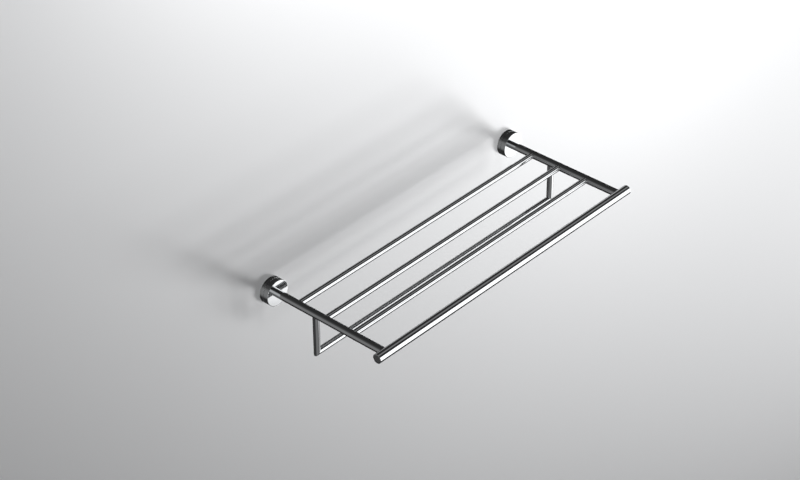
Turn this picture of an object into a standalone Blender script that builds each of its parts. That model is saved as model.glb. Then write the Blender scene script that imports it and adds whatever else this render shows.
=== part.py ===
"""Wall-mounted towel rack: two arms, a shelf of round bars and a towel rail slung below it.

X runs along the wall to the right, Y into the wall and Z up.  The origin is on the wall
plane, halfway between the two rosettes.  All sizes are in metres.
"""

import math

import bmesh
import bpy
from mathutils import Vector

# Overall layout
ARM_SPACING = 0.630  # between the arms' axes
FRONT_BAR_REACH = 0.271  # wall to the front bar's axis
FRONT_BAR_OVERHANG = 0.022  # from an arm's axis to the front bar's end
FIRST_BAR_REACH = 0.0673  # wall to the axis of the shelf bar nearest to it
FRONT_GAP = 0.0765  # last shelf bar's axis to the front bar's axis
SHELF_BAR_COUNT = 3
TOWEL_RAIL_PLACE = 0.662  # how far along the first gap between shelf bars it hangs
TOWEL_RAIL_DROP = 0.0805  # arm axis down to the towel rail's axis

# Tubes
ARM_DIAMETER = 0.015
ARM_WALL = 0.0012
FRONT_BAR_DIAMETER = 0.018
FRONT_BAR_WALL = 0.0012
SHELF_BAR_DIAMETER = 0.012
SHELF_BAR_WALL = 0.001
TOWEL_RAIL_DIAMETER = 0.012
TOWEL_RAIL_WALL = 0.001

# Rosettes: a flange on the wall, and a cover that slips over its boss
ROSETTE_DIAMETER = 0.050
ROSETTE_DEPTH = 0.0186
FLANGE_RIM_DEPTH = 0.008
FLANGE_BOSS_DEPTH = 0.0042
FLANGE_BORE_DIAMETER = 0.016
FLANGE_RELIEF_DEPTH = 0.0005
FLANGE_SEAT_WIDTH = 0.004
COVER_WALL = 0.003
COVER_FACE_THICKNESS = 0.003
EDGE_CHAMFER = 0.0004

# Fasteners
ARM_SCREW_DIAMETER = 0.006
ARM_SCREW_LENGTH = 0.016
ARM_SCREW_HEAD_DIAMETER = 0.0105
ARM_SCREW_HEAD_HEIGHT = 0.0032
ARM_SCREW_SOCKET = 0.0046
GRUB_SCREW_DIAMETER = 0.0025
GRUB_SCREW_SOCKET = 0.0014
GRUB_SCREW_RECESS = 0.0004
WALL_SCREW_DIAMETER = 0.004
WALL_SCREW_LENGTH = 0.040
WALL_SCREW_TIP = 0.005
WALL_SCREW_HEAD_DIAMETER = 0.008
WALL_SCREW_HEAD_HEIGHT = 0.0026
WALL_SCREW_SOCKET = 0.0032
SOCKET_DEPTH_SHARE = 0.6
WALL_PLUG_WALL = 0.0017
WALL_PLUG_LENGTH = 0.035
WALL_PLUG_COLLAR = 0.006
WALL_PLUG_SLOT = 0.0012

# Joint pieces inside the tubes
STUD_DIAMETER = 0.006
STUD_GRIP = 0.016  # how far the stud reaches into the arm's front insert
STUD_OVERRUN = 0.003  # how far it passes the front bar's axis
INSERT_LENGTH = 0.018
ANCHOR_LENGTH = 0.018
SPIGOT_NECK_DIAMETER = 0.007
SPIGOT_BODY_LENGTH = 0.015
CORNER_LEG = 0.018
END_CAP_DEPTH = 0.007

TOUCH_GAP = 0.0003  # left between pieces that meet
MERGE_DISTANCE = 0.000001
OUTER_SIDES = 32
INNER_SIDES = 20
CUTTER_MARGIN = 0.002

FRONT_BAR_LENGTH = ARM_SPACING + 2 * FRONT_BAR_OVERHANG
SHELF_BAR_PITCH = (FRONT_BAR_REACH - FIRST_BAR_REACH - FRONT_GAP) / (SHELF_BAR_COUNT - 1)
TOWEL_RAIL_REACH = FIRST_BAR_REACH + TOWEL_RAIL_PLACE * SHELF_BAR_PITCH

ARM_RADIUS = ARM_DIAMETER / 2
ARM_BORE_RADIUS = ARM_RADIUS - ARM_WALL
FRONT_BAR_RADIUS = FRONT_BAR_DIAMETER / 2
FRONT_BAR_BORE_RADIUS = FRONT_BAR_RADIUS - FRONT_BAR_WALL
TOWEL_RAIL_RADIUS = TOWEL_RAIL_DIAMETER / 2
ROSETTE_RADIUS = ROSETTE_DIAMETER / 2
BOSS_RADIUS = ROSETTE_RADIUS - COVER_WALL - TOUCH_GAP
BOSS_FRONT = FLANGE_RIM_DEPTH + FLANGE_BOSS_DEPTH
WALL_SCREW_OFFSET = (FLANGE_BORE_DIAMETER / 2 + BOSS_RADIUS) / 2
SPIGOT_NECK_START = ARM_BORE_RADIUS / 2  # from the arm's axis
SPIGOT_BODY_START = ARM_RADIUS + 2 * TOUCH_GAP
FRONT_INSERT_END = FRONT_BAR_REACH - FRONT_BAR_RADIUS - 2 * TOUCH_GAP

# An object's own Z is turned to one of these directions
ALONG_X = (0, math.pi / 2, 0)
AGAINST_X = (0, -math.pi / 2, 0)
INTO_WALL = (-math.pi / 2, 0, 0)
OUT_OF_WALL = (math.pi / 2, 0, 0)
UPWARD = (0, 0, 0)
DOWNWARD = (math.pi, 0, 0)

# Colour, metallic value and roughness
FINISHES = {
    "chrome": ((0.78, 0.79, 0.80), 1.0, 0.06),
    "brass": ((0.72, 0.56, 0.28), 1.0, 0.30),
    "zinc_steel": ((0.60, 0.61, 0.62), 1.0, 0.35),
    "nylon": ((0.45, 0.46, 0.47), 0.0, 0.55),
}


def clear_scene():
    for old in list(bpy.data.objects):
        bpy.data.objects.remove(old, do_unlink=True)


def make_material(name, finish):
    colour, metallic, roughness = FINISHES[finish]
    material = bpy.data.materials.new(name)
    material.use_nodes = True
    shader = material.node_tree.nodes["Principled BSDF"]
    shader.inputs["Base Color"].default_value = (*colour, 1.0)
    shader.inputs["Metallic"].default_value = metallic
    shader.inputs["Roughness"].default_value = roughness
    return material


def place(name, mesh, parent, location, turn):
    piece = bpy.data.objects.new(name, mesh)
    bpy.context.scene.collection.objects.link(piece)
    piece.parent = parent
    piece.location = location
    piece.rotation_euler = turn
    return piece


def add_piece(name, mesh, finish, parent, location, turn):
    mesh.materials.append(make_material(name + "_" + finish, finish))
    mesh.shade_smooth()
    mesh.set_sharp_from_angle(angle=math.radians(30))
    return place(name, mesh, parent, location, turn)


def add_cutter(name, mesh, parent, location, turn):
    cutter = place(name, mesh, parent, location, turn)
    cutter.hide_render = True
    cutter.display_type = "WIRE"
    return cutter


def cut(piece, *cutters):
    for cutter in cutters:
        boolean = piece.modifiers.new("cut_" + cutter.name, "BOOLEAN")
        boolean.operation = "DIFFERENCE"
        boolean.object = cutter


def finish_mesh(name, shape):
    bmesh.ops.remove_doubles(shape, verts=shape.verts, dist=MERGE_DISTANCE)
    bmesh.ops.recalc_face_normals(shape, faces=shape.faces)
    mesh = bpy.data.meshes.new(name)
    shape.to_mesh(mesh)
    shape.free()
    return mesh


def turned(name, outline, sides, is_ring=False):
    """Turn (radius, height) points about Z.  A ring's outline closes on itself."""
    shape = bmesh.new()
    points = [shape.verts.new((radius, 0, height)) for radius, height in outline]
    ends = points[1:] + points[:1] if is_ring else points[1:]
    edges = [shape.edges.new(pair) for pair in zip(points, ends)]
    bmesh.ops.spin(
        shape,
        geom=points + edges,
        axis=(0, 0, 1),
        cent=(0, 0, 0),
        angle=2 * math.pi,
        steps=sides,
        use_merge=True,
    )
    return finish_mesh(name, shape)


def tube(name, outer_radius, bore_radius, start, end, sides=OUTER_SIDES):
    outline = [
        (bore_radius, start),
        (outer_radius, start),
        (outer_radius, end),
        (bore_radius, end),
    ]
    return turned(name, outline, sides, is_ring=True)


def rod(name, radius, start, end, sides=INNER_SIDES):
    outline = [(0, start), (radius, start), (radius, end), (0, end)]
    return turned(name, outline, sides)


def slab(name, size):
    """A block centred on the origin, for slots and slanted cuts."""
    shape = bmesh.new()
    bmesh.ops.create_cube(shape, size=1)
    bmesh.ops.scale(shape, vec=size, verts=shape.verts)
    return finish_mesh(name, shape)


def mitre_cutter(name, parent, corner, normal):
    """Takes away what lies on the normal's side of a slanted plane, just past the corner."""
    side = 6 * TOWEL_RAIL_DIAMETER
    normal = Vector(normal).normalized()
    middle = Vector(corner) + normal * (side - TOUCH_GAP) / 2
    turn = normal.to_track_quat("Z", "Y").to_euler()
    return add_cutter(name, slab(name, (side, side, side)), parent, middle, turn)


def hex_socket(piece, size, head_height, parent, location, turn):
    """Cuts a six-sided key socket down into the top of a screw's head."""
    name = piece.name + "_socket"
    depth = SOCKET_DEPTH_SHARE * head_height
    prism = rod(name, size / 2, -depth, CUTTER_MARGIN, sides=6)
    cut(piece, add_cutter(name, prism, parent, location, turn))


def make_wall_flange(side, parent):
    """The disc screwed to the wall, with a boss that the cover slips over."""
    name = "wall_flange_" + side
    bore_radius = FLANGE_BORE_DIAMETER / 2
    seat_radius = ROSETTE_RADIUS - FLANGE_SEAT_WIDTH
    outline = [
        (bore_radius, FLANGE_RELIEF_DEPTH),
        (seat_radius, FLANGE_RELIEF_DEPTH),
        (seat_radius, 0),
        (ROSETTE_RADIUS, 0),
        (ROSETTE_RADIUS, FLANGE_RIM_DEPTH),
        (BOSS_RADIUS, FLANGE_RIM_DEPTH),
        (BOSS_RADIUS, BOSS_FRONT),
        (bore_radius, BOSS_FRONT),
    ]
    mesh = turned(name, outline, OUTER_SIDES, is_ring=True)
    flange = add_piece(name, mesh, "chrome", parent, (0, 0, 0), OUT_OF_WALL)
    hole_radius = WALL_SCREW_DIAMETER / 2 + TOUCH_GAP
    for level, height in wall_screw_heights().items():
        hole_name = "flange_hole_" + level + "_" + side
        hole = rod(hole_name, hole_radius, -CUTTER_MARGIN, BOSS_FRONT + CUTTER_MARGIN)
        cut(flange, add_cutter(hole_name, hole, parent, (0, 0, height), OUT_OF_WALL))


def wall_screw_heights():
    return {"upper": WALL_SCREW_OFFSET, "lower": -WALL_SCREW_OFFSET}


def make_rosette_cover(side, parent):
    """The cup over the flange, with a hole for the arm's screw and one for the grub screw."""
    name = "rosette_cover_" + side
    back = FLANGE_RIM_DEPTH + TOUCH_GAP
    inner_radius = ROSETTE_RADIUS - COVER_WALL
    hole_radius = ARM_SCREW_DIAMETER / 2 + TOUCH_GAP
    outline = [
        (inner_radius, back),
        (ROSETTE_RADIUS, back),
        (ROSETTE_RADIUS, ROSETTE_DEPTH - EDGE_CHAMFER),
        (ROSETTE_RADIUS - EDGE_CHAMFER, ROSETTE_DEPTH),
        (hole_radius, ROSETTE_DEPTH),
        (hole_radius, ROSETTE_DEPTH - COVER_FACE_THICKNESS),
        (inner_radius, ROSETTE_DEPTH - COVER_FACE_THICKNESS),
    ]
    mesh = turned(name, outline, OUTER_SIDES, is_ring=True)
    cover = add_piece(name, mesh, "chrome", parent, (0, 0, 0), OUT_OF_WALL)
    hole_name = "grub_hole_" + side
    hole = rod(
        hole_name,
        GRUB_SCREW_DIAMETER / 2 + TOUCH_GAP,
        inner_radius - CUTTER_MARGIN / 2,
        ROSETTE_RADIUS + CUTTER_MARGIN,
    )
    cut(cover, add_cutter(hole_name, hole, parent, (0, -grub_screw_reach(), 0), DOWNWARD))


def grub_screw_reach():
    """Halfway along the part of the boss that the cover covers."""
    return FLANGE_RIM_DEPTH + (FLANGE_BOSS_DEPTH + TOUCH_GAP) / 2


def make_grub_screw(side, parent):
    name = "grub_screw_" + side
    location = (0, -grub_screw_reach(), 0)
    start = BOSS_RADIUS + TOUCH_GAP
    end = ROSETTE_RADIUS - GRUB_SCREW_RECESS
    mesh = rod(name, GRUB_SCREW_DIAMETER / 2, start, end)
    screw = add_piece(name, mesh, "zinc_steel", parent, location, DOWNWARD)
    top = (0, -grub_screw_reach(), -end)
    hex_socket(screw, GRUB_SCREW_SOCKET, end - start, parent, top, DOWNWARD)


def make_rosette_screw(side, parent):
    """The button-head screw that draws the arm against the cover's face."""
    name = "rosette_screw_" + side
    seat = ROSETTE_DEPTH - COVER_FACE_THICKNESS - TOUCH_GAP
    head_top = seat - ARM_SCREW_HEAD_HEIGHT
    outline = [
        (0, head_top),
        (ARM_SCREW_HEAD_DIAMETER * 0.36, head_top),
        (ARM_SCREW_HEAD_DIAMETER / 2, seat - ARM_SCREW_HEAD_HEIGHT * 0.3),
        (ARM_SCREW_HEAD_DIAMETER / 2, seat),
        (ARM_SCREW_DIAMETER / 2, seat),
        (ARM_SCREW_DIAMETER / 2, seat + ARM_SCREW_LENGTH),
        (0, seat + ARM_SCREW_LENGTH),
    ]
    mesh = turned(name, outline, INNER_SIDES)
    screw = add_piece(name, mesh, "zinc_steel", parent, (0, 0, 0), OUT_OF_WALL)
    top = (0, -head_top, 0)
    hex_socket(screw, ARM_SCREW_SOCKET, ARM_SCREW_HEAD_HEIGHT, parent, top, INTO_WALL)


def make_wall_screw(side, level, height, parent):
    """A pan-head screw through the flange, with its point in the wall plug."""
    name = "wall_screw_" + level + "_" + side
    seat = BOSS_FRONT + TOUCH_GAP
    head_top = seat + WALL_SCREW_HEAD_HEIGHT
    shank_end = seat - WALL_SCREW_LENGTH
    outline = [
        (0, head_top),
        (WALL_SCREW_HEAD_DIAMETER * 0.36, head_top),
        (WALL_SCREW_HEAD_DIAMETER / 2, seat + WALL_SCREW_HEAD_HEIGHT * 0.4),
        (WALL_SCREW_HEAD_DIAMETER / 2, seat),
        (WALL_SCREW_DIAMETER / 2, seat),
        (WALL_SCREW_DIAMETER / 2, shank_end + WALL_SCREW_TIP),
        (0, shank_end),
    ]
    mesh = turned(name, outline, INNER_SIDES)
    screw = add_piece(name, mesh, "zinc_steel", parent, (0, 0, height), OUT_OF_WALL)
    top = (0, -head_top, height)
    hex_socket(screw, WALL_SCREW_SOCKET, WALL_SCREW_HEAD_HEIGHT, parent, top, OUT_OF_WALL)


def make_wall_plug(side, level, height, parent):
    """The nylon plug in the wall, split behind its collar."""
    name = "wall_plug_" + level + "_" + side
    bore_radius = WALL_SCREW_DIAMETER / 2 + TOUCH_GAP
    outer_radius = bore_radius + WALL_PLUG_WALL
    mesh = tube(name, outer_radius, bore_radius, TOUCH_GAP, WALL_PLUG_LENGTH, INNER_SIDES)
    plug = add_piece(name, mesh, "nylon", parent, (0, 0, height), INTO_WALL)
    slot_name = name + "_slot"
    slot_length = WALL_PLUG_LENGTH - WALL_PLUG_COLLAR + CUTTER_MARGIN
    slot = slab(slot_name, (4 * outer_radius, WALL_PLUG_SLOT, slot_length))
    middle = (0, WALL_PLUG_COLLAR + slot_length / 2, height)
    cut(plug, add_cutter(slot_name, slot, parent, middle, INTO_WALL))


def make_arm(side, parent, inward):
    """The side tube: coped round the front bar, drilled for the spigots of bars and post."""
    name = "arm_" + side
    arm_start = ROSETTE_DEPTH + TOUCH_GAP
    mesh = tube(name, ARM_RADIUS, ARM_BORE_RADIUS, arm_start, FRONT_BAR_REACH)
    arm = add_piece(name, mesh, "chrome", parent, (0, 0, 0), OUT_OF_WALL)

    cope_name = "front_cope_" + side
    cope_half = 2 * ARM_RADIUS
    cope = rod(cope_name, FRONT_BAR_RADIUS + TOUCH_GAP, -cope_half, cope_half, OUTER_SIDES)
    front = (0, -FRONT_BAR_REACH, 0)
    cut(arm, add_cutter(cope_name, cope, parent, front, ALONG_X))

    hole_radius = SPIGOT_NECK_DIAMETER / 2 + TOUCH_GAP
    hole_end = ARM_RADIUS + CUTTER_MARGIN
    for number, reach in enumerate(shelf_bar_reaches(), start=1):
        hole_name = "bar_hole_" + str(number) + "_" + side
        hole = rod(hole_name, hole_radius, SPIGOT_NECK_START, hole_end)
        cut(arm, add_cutter(hole_name, hole, parent, (0, -reach, 0), inward))
    hole_name = "post_hole_" + side
    hole = rod(hole_name, hole_radius, SPIGOT_NECK_START, hole_end)
    cut(arm, add_cutter(hole_name, hole, parent, (0, -TOWEL_RAIL_REACH, 0), DOWNWARD))


def shelf_bar_reaches():
    return [FIRST_BAR_REACH + SHELF_BAR_PITCH * index for index in range(SHELF_BAR_COUNT)]


def make_arm_inserts(side, parent):
    """Threaded plugs fixed in the two ends of an arm."""
    radius = ARM_BORE_RADIUS - TOUCH_GAP
    rear_start = ROSETTE_DEPTH + 2 * TOUCH_GAP
    rear_name = "arm_rear_insert_" + side
    rear_bore = ARM_SCREW_DIAMETER / 2 + TOUCH_GAP
    rear_end = rear_start + INSERT_LENGTH
    rear = tube(rear_name, radius, rear_bore, rear_start, rear_end, INNER_SIDES)
    add_piece(rear_name, rear, "brass", parent, (0, 0, 0), OUT_OF_WALL)

    front_name = "arm_front_insert_" + side
    front_bore = STUD_DIAMETER / 2 + TOUCH_GAP
    front_start = FRONT_INSERT_END - INSERT_LENGTH
    front = tube(front_name, radius, front_bore, front_start, FRONT_INSERT_END, INNER_SIDES)
    add_piece(front_name, front, "brass", parent, (0, 0, 0), OUT_OF_WALL)


def make_front_joint(side, parent):
    """A stud from the arm's insert into a cross-drilled anchor inside the front bar."""
    stud_name = "front_stud_" + side
    stud_start = FRONT_INSERT_END - STUD_GRIP
    stud_end = FRONT_BAR_REACH + STUD_OVERRUN
    stud = rod(stud_name, STUD_DIAMETER / 2, stud_start, stud_end)
    add_piece(stud_name, stud, "zinc_steel", parent, (0, 0, 0), OUT_OF_WALL)

    anchor_name = "front_bar_anchor_" + side
    front = (0, -FRONT_BAR_REACH, 0)
    anchor_radius = FRONT_BAR_BORE_RADIUS - TOUCH_GAP
    anchor_mesh = rod(anchor_name, anchor_radius, -ANCHOR_LENGTH / 2, ANCHOR_LENGTH / 2)
    anchor = add_piece(anchor_name, anchor_mesh, "brass", parent, front, ALONG_X)
    hole_name = "anchor_hole_" + side
    hole_radius = STUD_DIAMETER / 2 + TOUCH_GAP
    hole_half = FRONT_BAR_RADIUS + CUTTER_MARGIN
    hole = rod(hole_name, hole_radius, -hole_half, hole_half)
    cut(anchor, add_cutter(hole_name, hole, parent, front, OUT_OF_WALL))


def make_spigot(name, parent, location, direction, tube_bore_radius):
    """A stepped pin: its neck enters the arm and its body fills the end of a tube."""
    neck_radius = SPIGOT_NECK_DIAMETER / 2
    body_radius = tube_bore_radius - TOUCH_GAP
    body_end = SPIGOT_BODY_START + SPIGOT_BODY_LENGTH
    outline = [
        (0, SPIGOT_NECK_START),
        (neck_radius, SPIGOT_NECK_START),
        (neck_radius, SPIGOT_BODY_START),
        (body_radius, SPIGOT_BODY_START),
        (body_radius, body_end),
        (0, body_end),
    ]
    mesh = turned(name, outline, INNER_SIDES)
    add_piece(name, mesh, "brass", parent, location, direction)


def make_corner_insert(side, parent, toward_middle):
    """An elbow inside the mitred corner of the towel rail: three rings, joined and capped."""
    name = "corner_insert_" + side
    radius = TOWEL_RAIL_RADIUS - TOWEL_RAIL_WALL - TOUCH_GAP
    shape = bmesh.new()
    rings = [[], [], []]
    for step in range(INNER_SIDES):
        angle = 2 * math.pi * step / INNER_SIDES
        across = radius * math.cos(angle)
        depth = radius * math.sin(angle)
        rings[0].append(shape.verts.new((across * toward_middle, depth, CORNER_LEG)))
        rings[1].append(shape.verts.new((across * toward_middle, depth, across)))
        rings[2].append(shape.verts.new((CORNER_LEG * toward_middle, depth, across)))
    loops = [
        [shape.edges.new((ring[i - 1], ring[i])) for i in range(INNER_SIDES)]
        for ring in rings
    ]
    bmesh.ops.bridge_loops(shape, edges=loops[0] + loops[1])
    bmesh.ops.bridge_loops(shape, edges=loops[1] + loops[2])
    shape.faces.new(rings[0])
    shape.faces.new(rings[2])
    mesh = finish_mesh(name, shape)
    add_piece(name, mesh, "brass", parent, (0, -TOWEL_RAIL_REACH, -TOWEL_RAIL_DROP), UPWARD)


def make_post(side, parent, toward_middle):
    """The upright of the towel rail: coped under the arm, mitred at the foot."""
    name = "towel_post_" + side
    bore_radius = TOWEL_RAIL_RADIUS - TOWEL_RAIL_WALL
    foot = TOWEL_RAIL_DROP + 2 * TOWEL_RAIL_RADIUS
    mesh = tube(name, TOWEL_RAIL_RADIUS, bore_radius, 0, foot)
    location = (0, -TOWEL_RAIL_REACH, 0)
    post = add_piece(name, mesh, "chrome", parent, location, DOWNWARD)

    cope_name = "post_cope_" + side
    cope_half = 2 * TOWEL_RAIL_DIAMETER
    cope = rod(cope_name, ARM_RADIUS + TOUCH_GAP, -cope_half, cope_half, OUTER_SIDES)
    corner = (0, -TOWEL_RAIL_REACH, -TOWEL_RAIL_DROP)
    cut(
        post,
        add_cutter(cope_name, cope, parent, location, OUT_OF_WALL),
        mitre_cutter("post_mitre_" + side, parent, corner, (toward_middle, 0, -1)),
    )


def make_towel_rail(rack, side_signs):
    name = "towel_rail"
    half = ARM_SPACING / 2 + 2 * TOWEL_RAIL_RADIUS
    bore_radius = TOWEL_RAIL_RADIUS - TOWEL_RAIL_WALL
    mesh = tube(name, TOWEL_RAIL_RADIUS, bore_radius, -half, half)
    location = (0, -TOWEL_RAIL_REACH, -TOWEL_RAIL_DROP)
    rail = add_piece(name, mesh, "chrome", rack, location, ALONG_X)
    for side, sign in side_signs.items():
        corner = (sign * ARM_SPACING / 2, -TOWEL_RAIL_REACH, -TOWEL_RAIL_DROP)
        cut(rail, mitre_cutter("rail_mitre_" + side, rack, corner, (sign, 0, 1)))


def make_shelf_bar(number, reach, rack, side_signs):
    """A bar between the arms, coped at both ends."""
    name = "shelf_bar_" + str(number)
    half = ARM_SPACING / 2
    outer_radius = SHELF_BAR_DIAMETER / 2
    mesh = tube(name, outer_radius, outer_radius - SHELF_BAR_WALL, -half, half)
    bar = add_piece(name, mesh, "chrome", rack, (0, -reach, 0), ALONG_X)
    for side, sign in side_signs.items():
        cope_name = "bar_cope_" + str(number) + "_" + side
        cope_half = 2 * SHELF_BAR_DIAMETER
        cope = rod(cope_name, ARM_RADIUS + TOUCH_GAP, -cope_half, cope_half, OUTER_SIDES)
        location = (sign * half, -reach, 0)
        cut(bar, add_cutter(cope_name, cope, rack, location, OUT_OF_WALL))


def make_front_bar(rack, side_signs):
    """The thick bar across the arms' ends, drilled at the back for the studs."""
    name = "front_bar"
    half = FRONT_BAR_LENGTH / 2
    mesh = tube(name, FRONT_BAR_RADIUS, FRONT_BAR_BORE_RADIUS, -half, half)
    bar = add_piece(name, mesh, "chrome", rack, (0, -FRONT_BAR_REACH, 0), ALONG_X)
    for side, sign in side_signs.items():
        hole_name = "stud_hole_" + side
        hole_radius = STUD_DIAMETER / 2 + TOUCH_GAP
        hole = rod(hole_name, hole_radius, 0, FRONT_BAR_RADIUS + CUTTER_MARGIN)
        location = (sign * ARM_SPACING / 2, -FRONT_BAR_REACH, 0)
        cut(bar, add_cutter(hole_name, hole, rack, location, INTO_WALL))


def make_end_cap(side, rack, sign, outward):
    """A flush plug in an open end of the front bar."""
    name = "end_cap_" + side
    radius = FRONT_BAR_BORE_RADIUS - TOUCH_GAP
    outline = [
        (0, -END_CAP_DEPTH),
        (radius, -END_CAP_DEPTH),
        (radius, -EDGE_CHAMFER),
        (radius - EDGE_CHAMFER, 0),
        (0, 0),
    ]
    mesh = turned(name, outline, OUTER_SIDES)
    location = (sign * FRONT_BAR_LENGTH / 2, -FRONT_BAR_REACH, 0)
    add_piece(name, mesh, "chrome", rack, location, outward)


def make_side(side, rack, sign):
    """Everything that belongs to one arm, placed from the arm's root on the wall."""
    arm_root = place("arm_root_" + side, None, rack, (sign * ARM_SPACING / 2, 0, 0), UPWARD)
    inward = AGAINST_X if sign > 0 else ALONG_X
    outward = ALONG_X if sign > 0 else AGAINST_X
    make_wall_flange(side, arm_root)
    make_rosette_cover(side, arm_root)
    make_grub_screw(side, arm_root)
    make_rosette_screw(side, arm_root)
    for level, height in wall_screw_heights().items():
        make_wall_screw(side, level, height, arm_root)
        make_wall_plug(side, level, height, arm_root)
    make_arm(side, arm_root, inward)
    make_arm_inserts(side, arm_root)
    make_front_joint(side, arm_root)
    bar_bore_radius = SHELF_BAR_DIAMETER / 2 - SHELF_BAR_WALL
    for number, reach in enumerate(shelf_bar_reaches(), start=1):
        name = "bar_spigot_" + str(number) + "_" + side
        make_spigot(name, arm_root, (0, -reach, 0), inward, bar_bore_radius)
    post_top = (0, -TOWEL_RAIL_REACH, 0)
    post_bore_radius = TOWEL_RAIL_RADIUS - TOWEL_RAIL_WALL
    make_spigot("post_spigot_" + side, arm_root, post_top, DOWNWARD, post_bore_radius)
    make_post(side, arm_root, -sign)
    make_corner_insert(side, arm_root, -sign)
    make_end_cap(side, rack, sign, outward)


def make_rack():
    clear_scene()
    rack = place("rack_origin", None, None, (0, 0, 0), UPWARD)
    side_signs = {"left": -1, "right": 1}
    for side, sign in side_signs.items():
        make_side(side, rack, sign)
    for number, reach in enumerate(shelf_bar_reaches(), start=1):
        make_shelf_bar(number, reach, rack, side_signs)
    make_front_bar(rack, side_signs)
    make_towel_rail(rack, side_signs)


make_rack()
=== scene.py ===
"""A chrome towel rack on a pale wall: fine tubes, rosettes and fixings built round the frame."""

import math

import bmesh
import bpy
from mathutils import Matrix, Quaternion, Vector


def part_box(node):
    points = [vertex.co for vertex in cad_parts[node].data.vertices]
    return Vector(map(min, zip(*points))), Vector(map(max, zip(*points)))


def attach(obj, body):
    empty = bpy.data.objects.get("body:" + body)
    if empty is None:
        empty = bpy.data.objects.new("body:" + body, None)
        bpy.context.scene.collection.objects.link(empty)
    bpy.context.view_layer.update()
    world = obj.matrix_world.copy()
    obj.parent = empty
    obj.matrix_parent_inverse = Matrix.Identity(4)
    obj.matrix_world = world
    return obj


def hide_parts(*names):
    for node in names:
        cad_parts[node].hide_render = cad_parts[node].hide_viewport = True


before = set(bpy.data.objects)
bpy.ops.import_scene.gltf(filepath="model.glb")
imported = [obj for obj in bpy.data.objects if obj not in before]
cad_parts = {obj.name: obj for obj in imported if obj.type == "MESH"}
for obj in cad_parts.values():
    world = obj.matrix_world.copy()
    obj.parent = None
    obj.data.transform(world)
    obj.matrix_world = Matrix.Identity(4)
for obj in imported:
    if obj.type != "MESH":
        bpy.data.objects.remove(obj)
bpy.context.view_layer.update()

SIDES = ("left", "right")
LEVELS = ("upper", "lower")
BAR_NUMBERS = (1, 2, 3)
ALONG_X = Vector((1, 0, 0))
ALONG_Y = Vector((0, 1, 0))
ALONG_Z = Vector((0, 0, 1))

# Camera: the point it looks at, the side it looks from, its roll, distance and lens
VIEW_CENTRE = Vector((-0.0512, -0.0628, -0.0059))
VIEW_AZIMUTH = -47.40
VIEW_ELEVATION = 34.87
VIEW_ROLL = -0.645
VIEW_DISTANCE = 4.052
LENS = 102.5
SENSOR_WIDTH = 36

# Tubes and turned pieces: sizes in metres, and steps are the sides of a round
TUBE_STEPS = 96
ROSETTE_STEPS = 160
TUBE_WALL = 0.0011
TUBE_EDGE = 0.00025
ROSETTE_EDGE = 0.00045
BRAZE_RADIUS = 0.0004
BRAZE_SINK = 0.00005
HOLDING_LOOP = 0.0008
SEAM_GAP = 0.0001
ARM_SCREW_HOLE_RADIUS = 0.0033
COVER_WALL = 0.003
COVER_FACE = 0.003
FLANGE_SEAM = 0.0003
FLANGE_BORE_RADIUS = 0.008
FLANGE_RELIEF = 0.0005
FLANGE_SEAT = 0.004
FLANGE_EDGE = 0.00035
HOLE_STEPS = 32
HOLE_MARGIN = 0.001
WALL_SCREW_HOLE_RADIUS = 0.0023
GRUB_SCREW_HOLE_RADIUS = 0.00155
EASE_SEGMENTS = 3
EASED_ANGLE = math.radians(40)
SHARP_ANGLE = math.radians(35)
WELD_DISTANCE = 0.000001
END_REACH = BRAZE_RADIUS + TUBE_EDGE + HOLDING_LOOP

# Stage: the wall and the floor, in metres
PAINT_COLOUR = (0.80, 0.805, 0.815, 1)
FLOOR_GLOW = 0.8
FLOOR_LEVEL = -1.75
WALL_LEFT, WALL_RIGHT, WALL_TOP = -4, 5, 4
FLOOR_LEFT, FLOOR_RIGHT, FLOOR_FRONT = -8, 9, -12

# What the chrome mirrors: a big card and soft glows in a dark studio
STUDIO_GLOW = 0.036
AMBIENT = 0.005
BACKDROP_TONE = 0.80
CARD_BRIGHT_EDGE = (-0.607, -0.575, 1.65)  # height it starts at, height it is full at, strength
CARD_DIM_EDGE = (-0.70, -0.60, 0.45)
CARD_TOP = (0.39, 0.43)
CARD_LEFT = (0.25, 0.50)
CARD_BACK = (0.05, 0.15)
SOFT_GLOWS = (  # direction, degrees to where it is full and to where it ends, strength
    ((-0.82, 0.57, -0.08), 5, 40, 0.22),
    ((-0.57, 0.57, 0.50), 5, 25, 0.04),
    ((-0.38, -0.70, -0.61), 10, 46, 0.21),
    ((0.63, -0.05, 0.77), 9, 13, 0.25),
    ((0.68, 0.72, 0.12), 3, 12, 0.75),
    ((0.58, 0.74, -0.33), 5, 12, 0.6),
    ((-0.62, -0.76, 0.15), 16, 34, 0.9),
)

# Lamps for the wall, in metres and watts
KEY_CENTRE = Vector((-0.1, 0, 0.1))
KEY_AIM = Vector((2.34, 0, 2.40))
KEY_DISTANCE = 9.0
KEY_WIDTH = 2.2
KEY_CONE = math.radians(64.4)
KEY_LAMPS = (  # metres to the right and down for each metre out of the wall, power
    (0.25, 0.20, 505),
    (0.60, 0.48, 1330),
    (0.85, 0.70, 1570),
    (1.25, 0.98, 1330),
)
WASH_WIDTH = 0.3
WASH_LAMPS = (  # name, place, power
    ("upper_left_wash", (-0.055, -0.45, 1.195), 25.8),
    ("upper_right_wash", (0.75, -0.685, 0.331), 14.1),
)


# ---------------------------------------------------------------- node helpers


def add_node(tree, kind, **settings):
    node = tree.nodes.new(kind)
    for name, value in settings.items():
        setattr(node, name, value)
    return node


def feed(tree, socket, value):
    """Links an output to the socket, or sets the socket to a plain value."""
    if isinstance(value, bpy.types.NodeSocket):
        tree.links.new(value, socket)
    else:
        socket.default_value = value


def calculate(tree, operation, first, second):
    node = add_node(tree, "ShaderNodeMath", operation=operation)
    feed(tree, node.inputs[0], first)
    feed(tree, node.inputs[1], second)
    return node.outputs[0]


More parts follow.
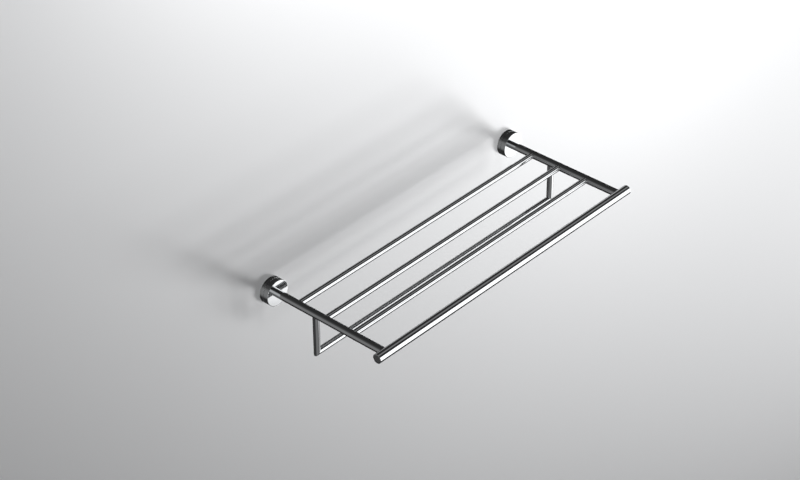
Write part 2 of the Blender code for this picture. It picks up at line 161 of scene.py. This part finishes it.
def smooth_step(tree, value, low, high, result=1.0):
    """0 below low, result above high and an easy slope between them."""
    node = add_node(tree, "ShaderNodeMapRange", interpolation_type="SMOOTHSTEP")
    feed(tree, node.inputs["Value"], value)
    node.inputs["From Min"].default_value = low
    node.inputs["From Max"].default_value = high
    node.inputs["To Min"].default_value = 0.0
    node.inputs["To Max"].default_value = result
    return node.outputs["Result"]


def noise(tree, scale, detail):
    """Noise over the object's own metres."""
    coordinates = add_node(tree, "ShaderNodeTexCoord")
    texture = add_node(tree, "ShaderNodeTexNoise")
    texture.inputs["Scale"].default_value = scale
    texture.inputs["Detail"].default_value = detail
    tree.links.new(coordinates.outputs["Object"], texture.inputs["Vector"])
    return texture.outputs["Fac"]


def blend_colour(tree, factor, first, second):
    ramp = add_node(tree, "ShaderNodeValToRGB")
    ramp.color_ramp.elements[0].position = 0.3
    ramp.color_ramp.elements[0].color = (*first, 1)
    ramp.color_ramp.elements[1].position = 0.7
    ramp.color_ramp.elements[1].color = (*second, 1)
    tree.links.new(factor, ramp.inputs["Fac"])
    return ramp.outputs["Color"]


def spread(tree, factor, low, high):
    """Turns a noise value into a range of a shader's own input."""
    node = add_node(tree, "ShaderNodeMapRange")
    tree.links.new(factor, node.inputs["Value"])
    node.inputs["From Min"].default_value = 0.3
    node.inputs["From Max"].default_value = 0.7
    node.inputs["To Min"].default_value = low
    node.inputs["To Max"].default_value = high
    return node.outputs["Result"]


def roughen(tree, shader, height, distance, strength=1.0):
    bump = add_node(tree, "ShaderNodeBump")
    bump.inputs["Strength"].default_value = strength
    bump.inputs["Distance"].default_value = distance
    tree.links.new(height, bump.inputs["Height"])
    tree.links.new(bump.outputs["Normal"], shader.inputs["Normal"])


def new_material(name, metallic):
    material = bpy.data.materials.new(name)
    material.use_nodes = True
    tree = material.node_tree
    shader = tree.nodes["Principled BSDF"]
    shader.inputs["Metallic"].default_value = metallic
    return material, tree, shader


# ------------------------------------------------------------------- materials


def make_chrome():
    """Mirror-polished plate: faint cloudiness left by the buffing wheel."""
    material, tree, shader = new_material("mirror_chrome", 1.0)
    clouds = noise(tree, 38, 3.0)
    colour = blend_colour(tree, clouds, (0.585, 0.595, 0.605), (0.625, 0.635, 0.645))
    tree.links.new(colour, shader.inputs["Base Color"])
    haze = noise(tree, 210, 4.0)
    tree.links.new(spread(tree, haze, 0.030, 0.055), shader.inputs["Roughness"])
    ripple = noise(tree, 90, 1.0)
    roughen(tree, shader, ripple, 0.0000015)
    return material


def make_brass():
    """Turned brass, slightly tarnished, with the lathe's fine marks."""
    material, tree, shader = new_material("turned_brass", 1.0)
    tarnish = noise(tree, 120, 4.0)
    colour = blend_colour(tree, tarnish, (0.58, 0.42, 0.17), (0.76, 0.60, 0.30))
    tree.links.new(colour, shader.inputs["Base Color"])
    tree.links.new(spread(tree, noise(tree, 900, 2.0), 0.22, 0.40), shader.inputs["Roughness"])
    roughen(tree, shader, noise(tree, 1600, 1.0), 0.00003, 0.4)
    return material


def make_zinc():
    """Bright zinc plate: spangled, with a cool and a warm tint."""
    material, tree, shader = new_material("zinc_plate", 1.0)
    spangle = noise(tree, 260, 3.0)
    colour = blend_colour(tree, spangle, (0.50, 0.53, 0.56), (0.66, 0.65, 0.60))
    tree.links.new(colour, shader.inputs["Base Color"])
    tree.links.new(spread(tree, noise(tree, 700, 2.0), 0.24, 0.42), shader.inputs["Roughness"])
    roughen(tree, shader, noise(tree, 2200, 1.0), 0.00002, 0.35)
    return material


def make_nylon():
    """Grey moulded nylon with a soft spark-eroded grain."""
    material, tree, shader = new_material("grey_nylon", 0.0)
    shade = noise(tree, 60, 2.0)
    colour = blend_colour(tree, shade, (0.36, 0.37, 0.38), (0.45, 0.46, 0.47))
    tree.links.new(colour, shader.inputs["Base Color"])
    grain = noise(tree, 2400, 2.0)
    tree.links.new(spread(tree, grain, 0.42, 0.62), shader.inputs["Roughness"])
    shader.inputs["Subsurface Weight"].default_value = 0.08
    shader.inputs["Subsurface Radius"].default_value = (0.002, 0.002, 0.002)
    roughen(tree, shader, grain, 0.00004, 0.5)
    return material


def make_paint(name, glow):
    """Pale matt paint; the floor's glows a little, because no lamp stands over it."""
    material, tree, shader = new_material(name, 0.0)
    shader.inputs["Base Color"].default_value = PAINT_COLOUR
    shader.inputs["Emission Color"].default_value = PAINT_COLOUR
    shader.inputs["Emission Strength"].default_value = glow
    shader.inputs["Roughness"].default_value = 0.75
    roughen(tree, shader, noise(tree, 160, 3.0), 0.0002, 0.15)
    return material


CHROME = make_chrome()
BRASS = make_brass()
ZINC = make_zinc()
NYLON = make_nylon()


# ------------------------------------------------------------------ mesh tools


def middle_of(node):
    low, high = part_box(node)
    return (low + high) / 2


def size_of(node):
    low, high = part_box(node)
    return high - low


def side_axis(along):
    """A direction square to the axis, where a turned outline starts."""
    return ALONG_Z if abs(along.z) < 0.5 else ALONG_X


def hold_corners(outline, is_ring):
    """Adds a point close to both ends of every long line.

    The narrow bands take up the turn of the shading, so that the long faces between stay flat.
    """
    held = []
    followers = outline[1:] + outline[:1] if is_ring else outline[1:]
    for start, end in zip(outline, followers):
        held.append(start)
        length = math.dist(start, end)
        if length > 3 * HOLDING_LOOP:
            for share in (HOLDING_LOOP / length, 1 - HOLDING_LOOP / length):
                held.append(tuple(a + (b - a) * share for a, b in zip(start, end)))
    if not is_ring:
        held.append(outline[-1])
    return held


def turn_outline(shape, outline, centre, along, steps, is_ring):
    """Spins (distance along, radius) points about the axis."""
    outline = hold_corners(outline, is_ring)
    side = side_axis(along)
    points = [shape.verts.new(centre + along * far + side * radius) for far, radius in outline]
    ends = points[1:] + points[:1] if is_ring else points[1:]
    edges = [shape.edges.new(pair) for pair in zip(points, ends)]
    bmesh.ops.spin(
        shape,
        geom=points + edges,
        axis=along,
        cent=centre,
        angle=2 * math.pi,
        steps=steps,
        use_merge=True,
    )
    bmesh.ops.remove_doubles(shape, verts=shape.verts, dist=WELD_DISTANCE)
    bmesh.ops.recalc_face_normals(shape, faces=shape.faces)


def ease_edges(shape, offset):
    """Rounds the sharp edges."""
    sharp = [
        edge
        for edge in shape.edges
        if len(edge.link_faces) == 2 and edge.calc_face_angle() > EASED_ANGLE
    ]
    bmesh.ops.bevel(
        shape,
        geom=sharp,
        offset=offset,
        offset_type="OFFSET",
        segments=EASE_SEGMENTS,
        profile=0.5,
        affect="EDGES",
        clamp_overlap=True,
        material=-1,
    )


def finish_piece(shape, name, material, slot, *nodes):
    mesh = bpy.data.meshes.new(name)
    shape.to_mesh(mesh)
    shape.free()
    mesh.materials.append(material)
    mesh.shade_smooth()
    mesh.set_sharp_from_angle(angle=SHARP_ANGLE)
    piece = bpy.data.objects.new(name, mesh)
    bpy.context.scene.collection.objects.link(piece)
    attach(piece, "root")
    if nodes:
        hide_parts(*nodes)
    return piece


def drill(piece, start, along, radius, length):
    """Cuts a round hole through the piece, from start along the axis."""
    shape = bmesh.new()
    outline = [(0, 0), (0, radius), (length, radius), (length, 0)]
    turn_outline(shape, outline, start, along, HOLE_STEPS, is_ring=False)
    drill_mesh = bpy.data.meshes.new("drill")
    shape.to_mesh(drill_mesh)
    shape.free()
    drill_bit = bpy.data.objects.new("drill", drill_mesh)
    bpy.context.scene.collection.objects.link(drill_bit)
    cut = piece.modifiers.new("hole", "BOOLEAN")
    cut.operation = "DIFFERENCE"
    cut.solver = "EXACT"
    cut.object = drill_bit
    bpy.context.view_layer.update()
    whole_mesh = piece.data
    drilled = piece.evaluated_get(bpy.context.evaluated_depsgraph_get())
    drilled_mesh = bpy.data.meshes.new_from_object(drilled)
    piece.modifiers.clear()
    piece.data = drilled_mesh
    bpy.data.objects.remove(drill_bit)
    bpy.data.meshes.remove(drill_mesh)
    bpy.data.meshes.remove(whole_mesh)
    drilled_mesh.shade_smooth()
    drilled_mesh.set_sharp_from_angle(angle=SHARP_ANGLE)


def cope(shape, end_centre, toward, across, radius):
    """Slides an end's points along the tube until they lie on a cross tube's surface."""
    for vertex in shape.verts:
        offset = vertex.co - end_centre
        if abs(offset.dot(toward)) < END_REACH:
            aside = offset.dot(across)
            vertex.co += toward * (radius - math.sqrt(radius**2 - aside**2))


def mitre(shape, end_centre, toward, inner_side):
    """Slides an end's points along the tube onto a plane at 45 degrees."""
    for vertex in shape.verts:
        offset = vertex.co - end_centre
        if abs(offset.dot(toward)) < END_REACH:
            vertex.co -= toward * offset.dot(inner_side)


def plain_end(radius):
    """The outline of a tube's plain end: (distance in from the end, radius) points.

    The outer corner is sharp, and the end's face dishes in by TUBE_EDGE just inside it.
    """
    points = [(0, radius - TUBE_WALL)]
    for step in range(4):
        dish = TUBE_EDGE * (1 - math.sin(math.radians(30 * step)))
        points.append((dish, radius - dish))
    return points


def brazed_end(radius):
    """The outline of a tube's end with the small hollow fillet of a polished braze."""
    points = [(0, radius - TUBE_WALL)]
    for step in range(5):
        angle = math.radians(90 - 22.5 * step)
        far = BRAZE_RADIUS * (1 - math.sin(angle))
        points.append((far, radius + BRAZE_RADIUS * (1 - math.cos(angle))))
    return points


def tube_shape(start, end, radius, start_outline, end_outline):
    """A hollow tube from start to end, each end with its own outline."""
    length = (end - start).length
    along = (end - start).normalized()
    outline = list(start_outline)
    outline += [(length - far, wide) for far, wide in reversed(end_outline)]
    shape = bmesh.new()
    turn_outline(shape, outline, start, along, TUBE_STEPS, is_ring=True)
    return shape


# ---------------------------------------------------------------------- pieces


def tube_radius(node, along):
    """Half the node's width square to its length."""
    size = size_of(node)
    return (size.x if abs(along.x) < 0.5 else size.y) / 2


ARM_RADIUS = tube_radius("arm_left", ALONG_Y)
BAR_RADIUS = tube_radius("shelf_bar_1", ALONG_X)
FRONT_RADIUS = tube_radius("front_bar", ALONG_X)
RAIL_RADIUS = tube_radius("towel_rail", ALONG_X)
FRONT_AXIS = middle_of("front_bar")
RAIL_AXIS = middle_of("towel_rail")
ROSETTE_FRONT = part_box("rosette_cover_left")[0].y


def arm_x(side):
    return middle_of("arm_" + side).x


def make_front_bar():
    low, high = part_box("front_bar")
    start = Vector((low.x, FRONT_AXIS.y, 0))
    end = Vector((high.x, FRONT_AXIS.y, 0))
    shape = tube_shape(start, end, FRONT_RADIUS, plain_end(FRONT_RADIUS), plain_end(FRONT_RADIUS))
    finish_piece(shape, "front_bar_tube", CHROME, "chrome_bars", "front_bar")


def make_end_cap(side):
    """A flush disc pressed into the front bar, with a hairline seam round it."""
    low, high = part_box("end_cap_" + side)
    outward = ALONG_X if side == "right" else -ALONG_X
    face_x = high.x if side == "right" else low.x
    centre = Vector((face_x, FRONT_AXIS.y, 0))
    radius = FRONT_RADIUS - TUBE_WALL - SEAM_GAP
    depth = high.x - low.x
    outline = [(0, 0), (0, radius), (-depth, radius), (-depth, 0)]
    shape = bmesh.new()
    turn_outline(shape, outline, centre, outward, TUBE_STEPS, is_ring=False)
    ease_edges(shape, TUBE_EDGE / 2)
    finish_piece(shape, "front_bar_cap_" + side, CHROME, "chrome_bars", "end_cap_" + side)


def make_arm(side):
    x = arm_x(side)
    start = Vector((x, ROSETTE_FRONT, 0))
    end = Vector((x, FRONT_AXIS.y + FRONT_RADIUS, 0))
    shape = tube_shape(start, end, ARM_RADIUS, plain_end(ARM_RADIUS), brazed_end(ARM_RADIUS))
    cope(shape, end, -ALONG_Y, ALONG_Z, FRONT_RADIUS - BRAZE_SINK)
    finish_piece(shape, "arm_tube_" + side, CHROME, "chrome_bars", "arm_" + side)


def make_shelf_bar(number):
    name = "shelf_bar_" + str(number)
    y = middle_of(name).y
    start = Vector((arm_x("left") + ARM_RADIUS, y, 0))
    end = Vector((arm_x("right") - ARM_RADIUS, y, 0))
    shape = tube_shape(start, end, BAR_RADIUS, brazed_end(BAR_RADIUS), brazed_end(BAR_RADIUS))
    cope(shape, start, -ALONG_X, ALONG_Z, ARM_RADIUS - BRAZE_SINK)
    cope(shape, end, ALONG_X, ALONG_Z, ARM_RADIUS - BRAZE_SINK)
    finish_piece(shape, "shelf_tube_" + str(number), CHROME, "chrome_bars", name)


def make_post(side):
    x = arm_x(side)
    inner_side = ALONG_X if side == "left" else -ALONG_X
    top = Vector((x, RAIL_AXIS.y, -ARM_RADIUS))
    foot = Vector((x, RAIL_AXIS.y, RAIL_AXIS.z))
    shape = tube_shape(top, foot, RAIL_RADIUS, brazed_end(RAIL_RADIUS), plain_end(RAIL_RADIUS))
    cope(shape, top, ALONG_Z, ALONG_X, ARM_RADIUS - BRAZE_SINK)
    mitre(shape, foot, -ALONG_Z, inner_side)
    finish_piece(shape, "post_tube_" + side, CHROME, "chrome_bars", "towel_post_" + side)


def make_towel_rail():
    start = Vector((arm_x("left"), RAIL_AXIS.y, RAIL_AXIS.z))
    end = Vector((arm_x("right"), RAIL_AXIS.y, RAIL_AXIS.z))
    shape = tube_shape(start, end, RAIL_RADIUS, plain_end(RAIL_RADIUS), plain_end(RAIL_RADIUS))
    mitre(shape, start, -ALONG_X, ALONG_Z)
    mitre(shape, end, ALONG_X, ALONG_Z)
    finish_piece(shape, "rail_tube", CHROME, "chrome_bars", "towel_rail")


def make_cover(side):
    """A cup over the flange's boss, with holes for the arm's screw and the grub screw."""
    x = arm_x(side)
    low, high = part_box("rosette_cover_" + side)
    radius = (high.x - low.x) / 2
    depth = high.y - low.y
    outline = [
        (0, ARM_SCREW_HOLE_RADIUS),
        (0, radius),
        (-depth, radius),
        (-depth, radius - COVER_WALL),
        (-COVER_FACE, radius - COVER_WALL),
        (-COVER_FACE, ARM_SCREW_HOLE_RADIUS),
    ]
    shape = bmesh.new()
    turn_outline(shape, outline, Vector((x, low.y, 0)), -ALONG_Y, ROSETTE_STEPS, is_ring=True)
    ease_edges(shape, ROSETTE_EDGE)
    cup = finish_piece(shape, "rosette_cup_" + side, CHROME, "chrome_rosettes", "rosette_cover_" + side)
    grub = middle_of("grub_screw_" + side)
    below = Vector((x, grub.y, low.z - HOLE_MARGIN))
    drill(cup, below, ALONG_Z, GRUB_SCREW_HOLE_RADIUS, COVER_WALL + 2 * HOLE_MARGIN)


def make_flange(side):
    """A stepped disc, relieved at the back so that only its outer ring meets the wall."""
    x = arm_x(side)
    low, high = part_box("wall_flange_" + side)
    radius = (high.x - low.x) / 2
    rim = -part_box("rosette_cover_" + side)[1].y - FLANGE_SEAM
    boss = radius - COVER_WALL - FLANGE_SEAM
    outline = [
        (FLANGE_RELIEF, FLANGE_BORE_RADIUS),
        (-low.y, FLANGE_BORE_RADIUS),
        (-low.y, boss),
        (rim, boss),
        (rim, radius),
        (0, radius),
        (0, radius - FLANGE_SEAT),
        (FLANGE_RELIEF, radius - FLANGE_SEAT),
    ]
    shape = bmesh.new()
    turn_outline(shape, outline, Vector((x, 0, 0)), -ALONG_Y, ROSETTE_STEPS, is_ring=True)
    ease_edges(shape, FLANGE_EDGE)
    disc = finish_piece(shape, "flange_disc_" + side, CHROME, "chrome_rosettes", "wall_flange_" + side)
    for level in LEVELS:
        screw = middle_of("wall_screw_" + level + "_" + side)
        before = Vector((x, low.y - HOLE_MARGIN, screw.z))
        drill(disc, before, ALONG_Y, WALL_SCREW_HOLE_RADIUS, -low.y + 2 * HOLE_MARGIN)


def finish_inner_pieces():
    """Gives the frame's own screws, plugs and inserts, which no finer piece replaces, a finish."""
    for name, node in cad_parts.items():
        if node.hide_render:
            continue
        finish = BRASS
        if "screw" in name or "stud" in name:
            finish = ZINC
        if "plug" in name:
            finish = NYLON
        node.data.materials.clear()
        node.data.materials.append(finish)


for side_name in SIDES:
    make_cover(side_name)
    make_flange(side_name)
    make_arm(side_name)
    make_post(side_name)
    make_end_cap(side_name)
for bar_number in BAR_NUMBERS:
    make_shelf_bar(bar_number)
make_front_bar()
make_towel_rail()
finish_inner_pieces()


# ----------------------------------------------------------------------- stage


def make_backdrop(name, low, high, turn, material):
    """A flat sheet between two corners, turned about X from facing up."""
    low, high = Vector(low), Vector(high)
    size = high - low
    depth = max(size.y, size.z)
    matrix = Matrix.Translation((low + high) / 2) @ Matrix.Rotation(turn, 4, "X")
    matrix @= Matrix.Diagonal((size.x, depth, 1, 1))
    shape = bmesh.new()
    bmesh.ops.create_grid(shape, x_segments=1, y_segments=1, size=0.5, matrix=matrix)
    mesh = bpy.data.meshes.new(name)
    shape.to_mesh(mesh)
    shape.free()
    mesh.materials.append(material)
    backdrop = bpy.data.objects.new(name, mesh)
    bpy.context.scene.collection.objects.link(backdrop)
    backdrop.visible_glossy = False
    backdrop.visible_diffuse = False
    backdrop.visible_shadow = False


def make_one_sided(material):
    """Lets the wall be looked through from behind."""
    tree = material.node_tree
    geometry = add_node(tree, "ShaderNodeNewGeometry")
    clear = add_node(tree, "ShaderNodeBsdfTransparent")
    mix = add_node(tree, "ShaderNodeMixShader")
    tree.links.new(geometry.outputs["Backfacing"], mix.inputs[0])
    tree.links.new(tree.nodes["Principled BSDF"].outputs[0], mix.inputs[1])
    tree.links.new(clear.outputs[0], mix.inputs[2])
    tree.links.new(mix.outputs[0], tree.nodes["Material Output"].inputs["Surface"])


def make_stage():
    wall_paint = make_paint("wall_paint", 0.0)
    floor_paint = make_paint("floor_paint", FLOOR_GLOW)
    make_one_sided(wall_paint)
    wall_low = (WALL_LEFT, 0, FLOOR_LEVEL)
    wall_high = (WALL_RIGHT, 0, WALL_TOP)
    make_backdrop("wall", wall_low, wall_high, math.radians(90), wall_paint)
    floor_low = (FLOOR_LEFT, FLOOR_FRONT, FLOOR_LEVEL)
    floor_high = (FLOOR_RIGHT, 0, FLOOR_LEVEL)
    make_backdrop("floor", floor_low, floor_high, 0, floor_paint)


def direction_glow(tree, direction, centre, inner, outer, strength):
    """A soft round glow in the surroundings: full within inner degrees, gone at outer."""
    dot = add_node(tree, "ShaderNodeVectorMath", operation="DOT_PRODUCT")
    tree.links.new(direction, dot.inputs[0])
    dot.inputs[1].default_value = Vector(centre).normalized()
    near = math.cos(math.radians(inner))
    far = math.cos(math.radians(outer))
    return smooth_step(tree, dot.outputs["Value"], far, near, strength)


def make_soft_box(tree, x, y, z):
    """The big card at the lower right that the bars mirror as their white band."""
    bright = smooth_step(tree, z, *CARD_BRIGHT_EDGE)
    dim = smooth_step(tree, z, *CARD_DIM_EDGE)
    level = calculate(tree, "ADD", bright, dim)
    above = smooth_step(tree, z, *CARD_TOP)
    level = calculate(tree, "MULTIPLY", level, calculate(tree, "SUBTRACT", 1.0, above))
    level = calculate(tree, "MULTIPLY", level, smooth_step(tree, x, *CARD_LEFT))
    out_of_wall = calculate(tree, "MULTIPLY", y, -1.0)
    return calculate(tree, "MULTIPLY", level, smooth_step(tree, out_of_wall, *CARD_BACK))


def make_world():
    """A dark studio for the chrome to mirror, and an even tone past the backdrops for the camera."""
    world = bpy.data.worlds.new("studio")
    bpy.context.scene.world = world
    world.use_nodes = True
    world.cycles.sampling_method = "NONE"
    tree = world.node_tree
    background = tree.nodes["Background"]
    direction = add_node(tree, "ShaderNodeTexCoord").outputs["Generated"]
    parts = add_node(tree, "ShaderNodeSeparateXYZ")
    tree.links.new(direction, parts.inputs[0])
    glow = calculate(tree, "ADD", make_soft_box(tree, *parts.outputs), STUDIO_GLOW)
    for centre, inner, outer, strength in SOFT_GLOWS:
        lobe = direction_glow(tree, direction, centre, inner, outer, strength)
        glow = calculate(tree, "ADD", glow, lobe)

    ray = add_node(tree, "ShaderNodeLightPath")
    is_glossy = ray.outputs["Is Glossy Ray"]
    is_camera = ray.outputs["Is Camera Ray"]
    backdrop = calculate(tree, "MULTIPLY", is_camera, BACKDROP_TONE - AMBIENT)
    seen = calculate(tree, "ADD", AMBIENT, backdrop)
    mirrored = calculate(tree, "MULTIPLY", is_glossy, calculate(tree, "SUBTRACT", glow, AMBIENT))
    tree.links.new(calculate(tree, "ADD", seen, mirrored), background.inputs["Strength"])
    background.inputs["Color"].default_value = (1, 1, 1, 1)


def make_lamp(name, kind, place, width, power):
    """A soft lamp for the walls, which the chrome doesn't mirror."""
    light = bpy.data.lights.new(name, kind)
    light.shadow_soft_size = width / 2
    light.energy = power
    lamp = bpy.data.objects.new(name, light)
    bpy.context.scene.collection.objects.link(lamp)
    lamp.location = place
    lamp.visible_glossy = False
    lamp.visible_camera = False
    return lamp


def make_lamps():
    """A row of far key lamps from the front to the lower right, and two small washes."""
    for number, (sideways, down, power) in enumerate(KEY_LAMPS):
        place = KEY_CENTRE + Vector((sideways, -1, -down)).normalized() * KEY_DISTANCE
        key = make_lamp("key_" + str(number + 1), "SPOT", place, KEY_WIDTH, power)
        key.data.spot_size = KEY_CONE
        key.data.spot_blend = 1.0
        key.rotation_mode = "QUATERNION"
        key.rotation_quaternion = (KEY_AIM - place).to_track_quat("-Z", "Y")
    for name, place, power in WASH_LAMPS:
        wash = make_lamp(name, "POINT", place, WASH_WIDTH, power)
        wash.data.use_shadow = False


def make_camera():
    azimuth = math.radians(VIEW_AZIMUTH)
    elevation = math.radians(VIEW_ELEVATION)
    level = math.cos(elevation)
    back = Vector((math.sin(azimuth) * level, -math.cos(azimuth) * level, math.sin(elevation)))
    data = bpy.data.cameras.new("camera")
    data.lens = LENS
    data.sensor_width = SENSOR_WIDTH
    camera = bpy.data.objects.new("camera", data)
    bpy.context.scene.collection.objects.link(camera)
    camera.location = VIEW_CENTRE + back * VIEW_DISTANCE
    camera.rotation_mode = "QUATERNION"
    roll = Quaternion((0, 0, 1), math.radians(VIEW_ROLL))
    camera.rotation_quaternion = (-back).to_track_quat("-Z", "Y") @ roll
    bpy.context.scene.camera = camera


make_stage()
make_world()
make_lamps()
make_camera()
bpy.context.scene.view_settings.view_transform = "Standard"
